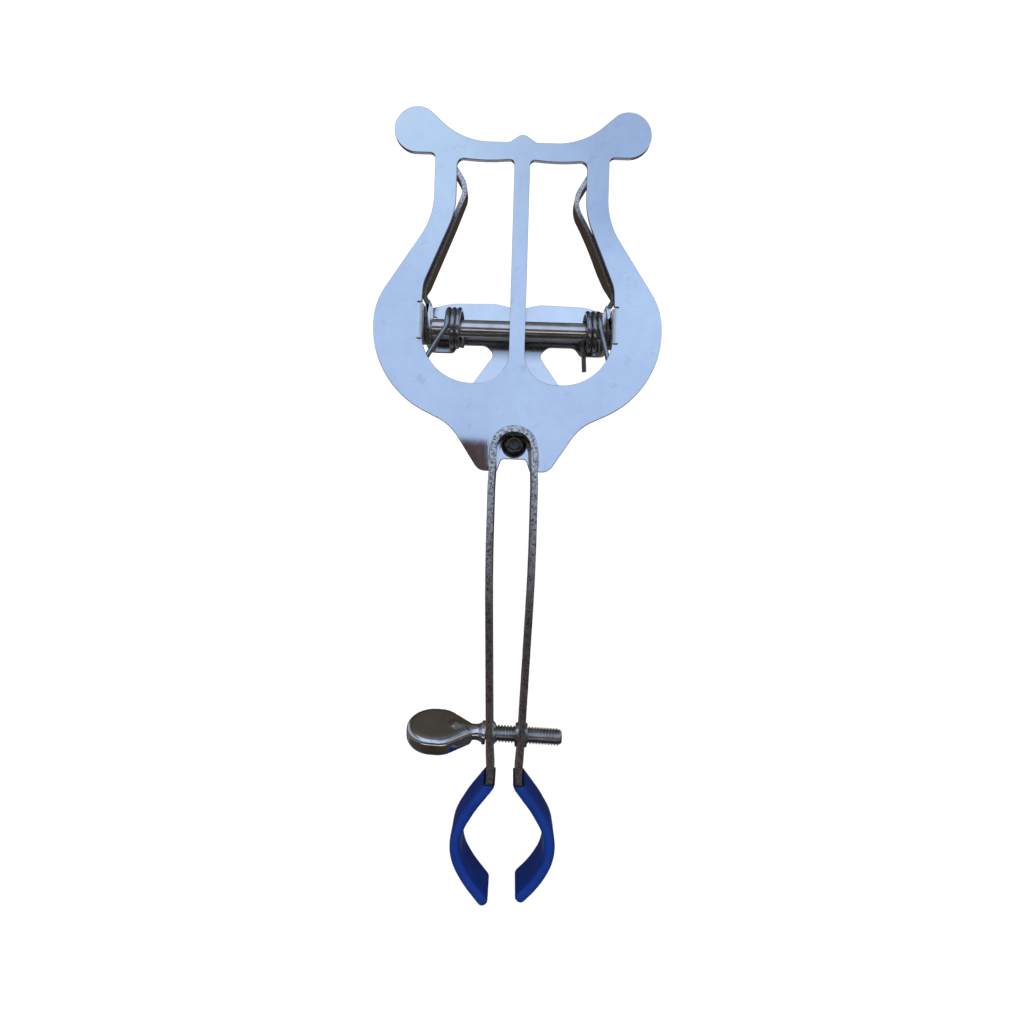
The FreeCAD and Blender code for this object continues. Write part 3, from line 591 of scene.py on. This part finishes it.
def make_rear_clamp():
    edge = FLANGE_MIDDLE - CLAMP_THICKNESS / 2 - 0.5
    right = [
        (0, -21.6, 0), (10.4, -21.6, 5.5), (12.3, -14.0, 7.2), (5.6, -4.6, 1.8), (8.0, -2.4, 2.4),
        (14.9, -2.4, 2.2), (16.2, -4.5, 1.2), (edge, -4.5, 0), (edge, 3.4, 0), (edge, 4.4, 0.45),
        (edge + 1.2, 4.4, 0.45), (edge + 1.2, 3.9, 0), (22.7, 3.9, 0.4), (22.7, 6.6, 1.6),
        (16.6, 8.05, 10.0), (5.6, 8.3, 8.0), (0, 7.0, 3.0),
    ]
    outline = [(a, HINGE_Z + b) for a, b in rounded(symmetric(right), step=4.0, longest=4.0)]
    parts = [stamping("clamp_plate", outline, [], CLAMP_THICKNESS, 0.15, front_space(), CLAMP_FRONT)]
    for side, word in ((1, "right"), (-1, "left")):
        back = CLAMP_FRONT + CLAMP_THICKNESS / 2
        corners = [(19.8, back, 0), (FLANGE_MIDDLE, back, 1.075), (FLANGE_MIDDLE, 7.7, 0)]
        line = rounded(corners, closed=False, step=8.0, longest=0.5)

        def height(x, y):
            low = table([(7.7, -1.4), (8.2, -2.2), (10.6, -4.5)], y)
            high = table([(13.1, 5.5), (13.5, 5.2), (13.9, 3.4)], y)
            return HINGE_Z + low, HINGE_Z + high

        half_sheet = CLAMP_THICKNESS / 2 - OFF_PLANE
        parts.append(sweep(word + "_flange", line, height, half_sheet, 0.14, level_space(side)))
    clamp = joined("clamp_pressing", parts)
    finish(clamp, CLAMP_METAL, "rear_clamp", ["rear_clamp"])

    lines = {1: [(23.3, 7.3, 2.0), (17.6, 20.6, 25.0), (12.35, 29.8, 6.0), (16.5, 36.6, 0)],
             -1: [(23.0, 7.2, 2.0), (13.0, 32.4, 5.0), (17.0, 38.6, 0)]}
    corners = [(10.4, 5.6, 0), (10.6, 7.0, 1.2), (13.9, 11.5, 3.0), (14.6, 15.5, 8.0), (13.9, 20.6, 6.0),
               (12.4, 25.0, 5.0), (10.7, 39.5, 0)]
    rear_edge = [(above, y) for y, above in rounded(corners, closed=False)]
    deepest = {1: 14.7, -1: 12.5}  # the furthest back that each arm reaches
    for side, word in ((1, "right"), (-1, "left")):
        corners = [(FLANGE_MIDDLE, 2.6, 0), (FLANGE_MIDDLE, 4.75, 1.5)] + lines[side]
        line = rounded([(x, HINGE_Z + g, r) for x, g, r in corners], closed=False, step=4.0, longest=0.6)

        def depth(x, z):
            g = z - HINGE_Z
            front = table([(1.5, 7.72), (4.6, 7.7), (40.0, 6.8)], g)
            return front, min(deepest[side], table(rear_edge, g))

        half_sheet = CLAMP_THICKNESS / 2 + 0.003
        arm = sweep(word + "_arm", line, depth, half_sheet, 0.16, front_space(side), end_cap=0.4)
        finish(arm, ARM_METAL, "rear_clamp")


# ---------------------------------------------------------------- hinge


def hinge_space(a, b, c):
    return Vector((a, HINGE_Y + b, HINGE_Z + c))


def make_hinge():
    head, end, outside, pin = 2.2, 24.4, 23.6, 1.3
    corners = [(-end, 0, 0), (-end, head, 0.6), (-outside, head, 0.12), (-outside, pin, 0.05),
               (outside, pin, 0.05), (outside, head, 0.12), (end, head, 0.6), (end, 0, 0)]
    item = lathe("hinge_pin_riveted", rounded(corners, closed=False, step=15), hinge_space, 40)
    finish(item, PIN_METAL, "lyre", ["hinge_pin"])
    half = 20.95
    corners = [(-half, 1.42, 0), (-half, 2.1, 0.18), (half, 2.1, 0.18), (half, 1.42, 0.1), (-half, 1.42, 0)]
    item = lathe("hinge_tube", rounded(corners, closed=False, step=15), hinge_space, 64)
    finish(item, TUBE_METAL, "lyre", ["hinge_sleeve"])


def bent_leg(tip, corner, along, steps=10):
    """Points of a spring's leg, from its tip to the corner, which it meets along that direction."""
    radius = 2.5
    back = -along
    reach = (tip - corner).dot(back)
    aside = (tip - corner) - back * reach
    away = aside.length - radius
    turn = math.atan2(away, reach) - math.acos(radius / math.hypot(reach, away)) + math.pi / 2
    aside.normalize()
    angles = [turn * k / steps for k in range(steps, -1, -1)]
    bend = [corner + back * radius * math.sin(a) + aside * radius * (1 - math.cos(a)) for a in angles]
    return [tip.lerp(bend[0], k / 4) for k in range(4)] + bend


def make_spring(word, outer, front_tip, rear_tip):
    """The rear leg is attached to the rear clamp and swings with it. The coil and its front leg are attached
    to no body.
    """
    side = -1 if word == "left" else 1
    start = outer - WIRE
    steps = int(COIL_TURNS * 40)

    def on_coil(share):
        angle = 2 * math.pi * COIL_TURNS * share
        x = start - COIL_PITCH * COIL_TURNS * share
        return Vector((x, HINGE_Y - COIL_RADIUS * math.cos(angle), HINGE_Z + COIL_RADIUS * math.sin(angle)))

    coil = [on_coil(k / steps) for k in range(steps + 1)]
    first = (on_coil(1e-4) - on_coil(0)).normalized()
    last = (on_coil(1) - on_coil(1 - 1e-4)).normalized()
    front = bent_leg(Vector(front_tip), coil[0], first)
    rear = list(reversed(bent_leg(Vector(rear_tip), coil[-1], -last)))

    def flipped(path):
        return [Vector((side * p.x, p.y, p.z)) for p in path]

    def radii(path, start_cut, end_cut):
        sizes = [WIRE] * len(path)
        if start_cut:
            sizes[0] = WIRE * 0.86
        if end_cut:
            sizes[-1] = WIRE * 0.86
        return sizes

    def with_cut(path, at_start):
        ends = path if at_start else list(reversed(path))
        ends = [ends[0], ends[0] + (ends[1] - ends[0]).normalized() * 0.08] + ends[1:]
        return ends if at_start else list(reversed(ends))

    wound = flipped(with_cut(front + coil[1:], True))
    item = tube(word + "_spring_coil", wound, radii(wound, True, False))
    finish(item, WIRE_SHADED_METAL)
    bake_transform(item)
    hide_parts(word + "_spring")
    swung = flipped(with_cut(rear, False))
    item = tube(word + "_spring_leg", swung, radii(swung, False, True))
    finish(item, WIRE_SHADED_METAL, "rear_clamp")


# ---------------------------------------------------------------- stem and jaws


def jaw_path(side):
    """The middle line of a jaw, from the neck to its tip. The left one is a little longer."""
    ring = RING_RADIUS + COAT + STRIP_THICKNESS / 2
    lean = math.radians(31)

    def tangent(z):
        return (ring - abs(z) * math.sin(lean)) / math.cos(lean)

    tip = (4.0, -11.4, 0) if side > 0 else (3.75, -12.35, 0)
    return [(3.0, 13.7, 3.6), (tangent(8.2), 8.2, 20.0), (tangent(0), 0, ring),
            (tangent(8.0), -8.0, 20.0), tip]


def make_stem(side, word, stands_for):
    """Half of the hairpin, from the middle of its bend to the tip of its jaw."""
    corners = [(0, BEND_TOP, 0), (BEND_RADIUS, BEND_TOP, BEND_RADIUS - 0.05), (LEG_TOP[0], 80.0, 40.0),
               (*LEG_TOP, 500.0), (*LEG_FOOT, 60.0)] + jaw_path(side)
    line = rounded(corners, closed=False, step=5.0, longest=1.5)
    half = STRIP_WIDTH / 2
    item = sweep(word + "_strip", line, lambda x, z: (-half, half), STRIP_THICKNESS / 2, 0.16,
                 front_space(side), closed_start=False)
    finish(item, STRIP_METAL)
    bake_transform(item)
    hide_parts(*stands_for)


def make_sleeve(side, word):
    """The dipped coat, with a rolled lip at its top and a blunt round tip."""
    corners = [(*LEG_FOOT, 0)] + jaw_path(side)
    before = unit(corners[-2], corners[-1])
    beyond = 0.68  # how far the coat goes past the strip's end
    corners[-1] = (corners[-1][0] + before[0] * beyond, corners[-1][1] + before[1] * beyond, 0)
    line = rounded(corners, closed=False, step=4.0, longest=0.5)
    top = table(sorted((z, x) for x, z in line), COAT_TOP - 0.01)
    line = [(top, COAT_TOP)] + [p for p in line if p[1] < COAT_TOP - 0.05]
    half = STRIP_WIDTH / 2 + COAT_EDGE
    item = sweep(word + "_dip", line, lambda x, z: (-half, half), STRIP_THICKNESS / 2 + COAT, 1.1,
                 front_space(side), end_cap=1.15, levelled=COAT_TOP)
    return finish(item, VINYL, word + "_leg", [word + "_jaw_sleeve"])


def leg_at(height):
    return LEG_FOOT[0] + (height - LEG_FOOT[1]) * math.tan(LEAN)


def screw_space(a, b, c):
    """The first axis runs along the screw, to the right, and is square to the right leg."""
    cosine, sine = math.cos(LEAN), math.sin(LEAN)
    return Vector((a * cosine + c * sine, b, SCREW_Z - a * sine + c * cosine))


def make_lip(side, word):
    """The formed lip round the screw's hole. The right leg's is on both faces of the strip."""
    crossing = leg_at(SCREW_Z)
    end = STRIP_THICKNESS / 2 + 0.6
    start = -end if side > 0 else 0
    bore, rim = (2.5, 2.78) if side > 0 else (2.06, 2.72)
    face = STRIP_THICKNESS / 2
    corners = [(end, bore, 0), (start, bore, 0), (start, rim if side < 0 else bore + 0.12, 0)]
    corners += [(-face, rim, 0.4)] if side > 0 else []
    corners += [(face, rim, 0.4), (end, bore + 0.12, 0.1), (end, bore, 0)]

    def space(a, b, c):
        if side > 0:
            return screw_space(crossing + a, b, c)
        cosine, sine = math.cos(LEAN), math.sin(LEAN)
        return screw_space(-crossing, 0, 0) + Vector((a * cosine - c * sine, b, a * sine + c * cosine))

    item = lathe(word + "_lip", rounded(corners, closed=False, step=15), space, 40)
    finish(item, STRIP_METAL, word + "_leg")


# ---------------------------------------------------------------- fixing of the stem


def make_rivet():
    top, head = PLATE_FRONT - 2.6, 3.05
    corners = [(top, 0, 0), (top, head - 0.5, 1.9), (PLATE_FRONT - 0.5, head, 0.3),
               (PLATE_FRONT + 0.1, head, 0)]
    back = PLATE_FRONT + PLATE_THICKNESS
    tail = [(back - 0.1, 1.8, 0), (back + 0.7, 1.7, 0.4), (back + 0.7, 0, 0)]
    middle = 89.9

    def space(a, b, c):
        return Vector((b, a, middle + c))

    def kept_in_bend(p):
        """Nothing of the head goes past the inside of the bend."""
        across = Vector((p.x, 0, p.z - 88.2))
        limit = BEND_RADIUS - STRIP_THICKNESS / 2 - 0.06
        if p.z < 88.2 or across.length <= limit:
            return p
        across = across.normalized() * limit
        return Vector((across.x, p.y, 88.2 + across.z))

    front = lathe("rivet_front", rounded(corners, closed=False, step=10), space, 48, kept_in_bend)
    rear = lathe("rivet_tail", rounded(tail, closed=False, step=15), space, 40)
    finish(joined("rivet", [front, rear]), RIVET_SHADED_METAL, "lyre", ["stem_rivet"])


def make_bead():
    """An uneven bead of brazing metal round the outside of the bend, on the face of the plate."""
    path = rounded([(4.80, 84.7, 0), (BEND_RADIUS, BEND_TOP, BEND_RADIUS - 0.05), (-BEND_RADIUS, BEND_TOP,
                    BEND_RADIUS - 0.05), (-4.80, 84.7, 0)], closed=False, step=3.0, longest=0.25)
    points, normals, rings = [], [], []
    for i, (x, z) in enumerate(path):
        tangent = unit(path[max(0, i - 1)], path[min(len(path) - 1, i + 1)])
        out = Vector((tangent[1], 0, -tangent[0]))
        if out.dot(Vector((x, 0, z - 86.0))) < 0:
            out = -out
        centre = Vector((x, PLATE_FRONT, z)) + out * (STRIP_THICKNESS / 2 - 0.05)
        width = 0.60 + 0.13 * noise.noise(Vector((x, z, 0)) * 1.7)
        rise = 0.34 + 0.10 * noise.noise(Vector((x, z, 5)) * 2.3)
        ring = []
        for k in range(9):
            angle = math.pi / 2 * k / 8
            ring.append(len(points))
            points.append(centre + out * width * math.sin(angle) + Vector((0, -rise * math.cos(angle), 0)))
            normals.append(out * math.sin(angle) + Vector((0, -math.cos(angle), 0)))
        ring.append(len(points))
        points.append(centre)
        normals.append(-out)
        rings.append(ring)
    faces = []
    for r, s in zip(rings, rings[1:]):
        faces += [[r[k], r[(k + 1) % 10], s[(k + 1) % 10], s[k]] for k in range(10)]
    item = build("brazing_bead", points, normals, faces + [list(rings[0]), list(rings[-1])])
    finish(item, BRAZE_METAL, "lyre", ["braze_bead"])


# ---------------------------------------------------------------- thumb screw


def make_thumb_screw():
    face = -(leg_at(SCREW_Z) + STRIP_THICKNESS / 2 + 0.22)
    neck, centre, disc, tilt, drop = 1.8, -16.4, 6.2, math.radians(21), 0.45

    def tilted(a, b, c):
        rise = b * math.sin(tilt) + c * math.cos(tilt)
        return screw_space(a, b * math.cos(tilt) - c * math.sin(tilt), rise) - Vector((0, 0, drop))

    corners = [(-7.6, -1.7, 0), (-7.6, 1.7, 0), (-13.4, disc, 5.0), (centre - disc, disc, disc - 0.01)]
    corners += [(centre - disc, -disc, disc - 0.01), (-13.4, -disc, 5.0)]
    outline = rounded(corners, step=5.0, longest=1.0)
    blank = stamping("paddle", outline, [], 4.6, 1.5, lambda a, b, c: tilted(a, b, c - 2.3), steps=5)
    corners = [(-13.2, 0, 0), (-13.2, 1.9, 0.6), (-11.6, 2.55, 1.0), (-8.2, neck, 4.0),
               (face - 1.7, neck, 1.6), (face - 0.5, 2.5, 0), (face - 0.5, 0, 0)]
    stalk = lathe("stalk", rounded(corners, closed=False, step=10), screw_space, 40)
    head = joined("screw_head", [blank, stalk])
    remesh = head.modifiers.new("remesh", "REMESH")
    remesh.mode = "VOXEL"
    remesh.voxel_size = 0.17 * MM
    remesh.use_smooth_shade = True
    smooth = head.modifiers.new("smooth", "SMOOTH")
    smooth.factor = 0.6
    smooth.iterations = 14
    applied(head)
    head.data.shade_smooth()
    finish(head, SCREW_METAL, "thumb_screw", ["thumb_screw"])

    collar = [(face - 0.85, 1.9, 0), (face - 0.85, 2.65, 0.22), (face, 2.65, 0.22), (face, 1.7, 0)]
    item = lathe("screw_collar", rounded(collar, closed=False, step=15), screw_space, 48)
    finish(item, SCREW_METAL, "thumb_screw")

    crest, root, segments, per_pitch = 1.95, 1.53, 48, 8
    length = SCREW_TIP - face
    stations = int(length / SCREW_PITCH * per_pitch)
    points, normals, faces = [], [], []

    def radius(x, angle):
        phase = (x / SCREW_PITCH - angle / (2 * math.pi)) % 1.0
        wave = min(1.0, max(0.0, 1.25 - abs(phase - 0.5) * 2.9))
        depth = root + (crest - root) * wave
        from_tip = SCREW_TIP - x
        return min(depth, 1.25 + from_tip * 0.9, root + 0.05 + max(0.0, x - face) * 0.6)

    def surface(x, angle):
        r = radius(x, angle)
        return screw_space(x, r * math.cos(angle), r * math.sin(angle))

    for i in range(stations + 1):
        x = face + length * i / stations
        for k in range(segments):
            angle = 2 * math.pi * k / segments
            points.append(surface(x, angle))
            along = surface(min(SCREW_TIP, x + 0.03), angle) - surface(max(face, x - 0.03), angle)
            round_about = surface(x, angle + 0.02) - surface(x, angle - 0.02)
            normals.append(round_about.cross(along).normalized())
            if i:
                before, after = k, (k + 1) % segments
                row, last = i * segments, (i - 1) * segments
                faces.append([last + before, last + after, row + after, row + before])
    axis = screw_space(1, 0, 0) - screw_space(0, 0, 0)
    for rim, direction in ((stations * segments, 1), (0, -1)):
        first = len(points)
        for k in range(segments):
            points.append(points[rim + k])
            normals.append(axis * direction)
        faces.append([first + k for k in range(segments)])
    outward = screw_space(0, 1, 0) - screw_space(0, 0, 0)
    if normals[0].dot(outward) < 0:
        normals[:(stations + 1) * segments] = [-n for n in normals[:(stations + 1) * segments]]
    finish(build("screw_thread", points, normals, faces), THREAD_SHADED_METAL, "thumb_screw")


make_lyre_plate()
make_rear_clamp()
make_hinge()
make_spring("left", 17.6, (22.4, 7.27, 109.3), (14.0, 17.75, 115.6))
make_spring("right", 20.5, (22.4, 7.27, 109.3), (17.3, 17.75, 110.2))
make_stem(-1, "left", ["stem_bend", "left_leg"])
make_stem(1, "right", ["right_leg"])
for side, word in ((-1, "left"), (1, "right")):
    make_sleeve(side, word)
    make_lip(side, word)
make_rivet()
make_bead()
make_thumb_screw()

# ---------------------------------------------------------------- stage, light and camera


def make_floor():
    """A plain pale floor, as a wide disc. It is low enough for the lyre's shadow to fade out."""
    level, radius, segments = cad_low.z - 0.04, 3.0, 64
    angles = [2 * math.pi * k / segments for k in range(segments)]
    points = [(0, 0, level)] + [(radius * math.cos(a), radius * math.sin(a), level) for a in angles]
    faces = [(0, 1 + k, 1 + (k + 1) % segments) for k in range(segments)]
    mesh = bpy.data.meshes.new("floor")
    mesh.from_pydata(points, [], faces)
    floor = bpy.data.objects.new("floor", mesh)
    bpy.context.scene.collection.objects.link(floor)
    material, nodes, shader = new_material("pale_floor")
    place = nodes.add("ShaderNodeTexCoord").outputs["Object"]
    colour = nodes.mix(nodes.noise(place, 3.0), (0.93, 0.93, 0.93), (0.95, 0.95, 0.95))
    material.node_tree.links.new(colour, shader.inputs["Base Color"])
    shader.inputs["Roughness"].default_value = 0.9
    shader.inputs["Specular IOR Level"].default_value = 0.0
    mesh.materials.append(material)
    floor.visible_glossy = False


def ramp(nodes, value, stops):
    item = nodes.add("ShaderNodeValToRGB", {"Fac": nodes.spread(value, -1.0, 1.0)})
    elements = item.color_ramp.elements
    while len(elements) > 1:
        elements.remove(elements[-1])
    for i, (height, colour) in enumerate(stops):
        element = elements[0] if i == 0 else elements.new((height + 1) / 2)
        element.position = (height + 1) / 2
        element.color = (*colour, 1.0)
    return item.outputs["Color"]


def make_world():
    """A white studio, seen by the ray's direction and kind.

    The camera sees plain white. Rough surfaces are lit mostly from the front. Polished metal reflects a cool
    front wall and the dark round it.
    """
    world = bpy.data.worlds.new("studio")
    world.use_nodes = True
    bpy.context.scene.world = world
    nodes = Nodes(world.node_tree)
    background = world.node_tree.nodes["Background"]
    direction = nodes.add("ShaderNodeTexCoord").outputs["Generated"]
    axes = nodes.add("ShaderNodeSeparateXYZ", {"Vector": direction})
    x, y, z = (axes.outputs[key] for key in "XYZ")
    edge = nodes.spread(x, -0.034, -0.022, 0.099, 0.035)
    front = ramp(nodes, nodes.maths("SUBTRACT", z, edge), [
        (-1.0, (0.03, 0.026, 0.022)), (-0.66, (0.05, 0.045, 0.04)), (-0.60, (0.95, 0.95, 1.0)),
        (-0.53, (0.95, 0.95, 1.0)), (-0.49, (0.09, 0.075, 0.07)), (-0.20, (0.045, 0.032, 0.03)),
        (0.0, (0.065, 0.040, 0.043)), (0.006, (0.42, 0.57, 0.90)), (0.30, (0.45, 0.62, 0.96)),
        (0.55, (0.47, 0.62, 0.93)), (0.68, (0.50, 0.58, 0.72)), (0.80, (0.14, 0.145, 0.17)),
        (1.0, (0.11, 0.112, 0.13))])
    across = nodes.spread(x, -0.15, 0.15, smooth=True)
    tinge = nodes.mix(nodes.spread(z, 0.31, 0.42, smooth=True),
                      nodes.mix(across, (1.06, 1.04, 0.99), (1.09, 1.07, 1.02)),
                      nodes.mix(across, (1.20, 1.18, 1.04), (0.78, 0.80, 0.82)))
    front = nodes.add("ShaderNodeVectorMath", {0: front, 1: tinge}, operation="MULTIPLY").outputs["Vector"]
    back = ramp(nodes, z, [
        (-1.0, (0.03, 0.026, 0.022)), (-0.62, (0.10, 0.10, 0.11)), (-0.52, (0.34, 0.34, 0.40)),
        (-0.43, (0.34, 0.34, 0.40)), (-0.37, (0.07, 0.06, 0.06)), (0.0, (0.045, 0.034, 0.026)),
        (0.45, (0.05, 0.04, 0.028)), (0.78, (0.055, 0.048, 0.038)), (0.90, (0.075, 0.068, 0.06)),
        (1.0, (0.12, 0.122, 0.14))])
    side = ramp(nodes, z, [
        (-1.0, (0.03, 0.026, 0.022)), (-0.46, (0.06, 0.055, 0.05)), (-0.39, (0.15, 0.145, 0.15)),
        (-0.26, (0.14, 0.135, 0.14)), (-0.18, (0.09, 0.088, 0.09)), (0.05, (0.14, 0.14, 0.15)),
        (0.16, (0.42, 0.47, 0.56)), (0.40, (0.36, 0.41, 0.50)), (0.66, (0.10, 0.10, 0.11)),
        (1.0, (0.11, 0.112, 0.13))])
    behind = nodes.spread(y, -0.30, 0.10, smooth=True)
    beside = nodes.spread(nodes.maths("ABSOLUTE", x), 0.50, 0.72, smooth=True)
    studio = nodes.mix(beside, nodes.mix(behind, front, back), side)
    path = nodes.add("ShaderNodeLightPath")
    lit = nodes.mix(nodes.spread(y, -1.0, 0.2), (3.6, 3.6, 3.6), (0.16, 0.16, 0.16))
    plain = nodes.mix(path.outputs["Is Camera Ray"], lit, (1.1, 1.1, 1.1))
    seen = nodes.mix(path.outputs["Is Glossy Ray"], plain, studio)
    world.node_tree.links.new(seen, background.inputs["Color"])
    background.inputs["Strength"].default_value = 1.0


def add_light(name, position, target, width, height, energy, colour=(1, 1, 1)):
    """A softbox that lights rough surfaces only. Polished metal has the studio to reflect."""
    data = bpy.data.lights.new(name, "AREA")
    data.shape = "RECTANGLE"
    data.size, data.size_y = width, height
    data.energy = energy
    data.color = colour
    item = bpy.data.objects.new(name, data)
    bpy.context.scene.collection.objects.link(item)
    item.location = position
    item.rotation_mode = "QUATERNION"
    item.rotation_quaternion = (Vector(target) - Vector(position)).to_track_quat("-Z", "Y")
    item.visible_glossy = False
    return item


def make_camera():
    data = bpy.data.cameras.new("camera")
    data.sensor_width = 36.0
    data.lens = 24.09
    data.clip_start = 0.005
    item = bpy.data.objects.new("camera", data)
    bpy.context.scene.collection.objects.link(item)
    item.matrix_world = (Matrix.Translation((0, -0.15675, 0.0741)) @ Matrix.Rotation(math.radians(90), 4, "X")
                         @ Matrix.Rotation(math.radians(1.7), 4, "Z"))
    bpy.context.scene.camera = item


make_floor()
make_world()
add_light("key", (-0.35, -0.55, 0.55), (0, 0, 0.05), 0.5, 0.5, 1.2)
make_camera()
bpy.context.scene.view_settings.view_transform = "Standard"
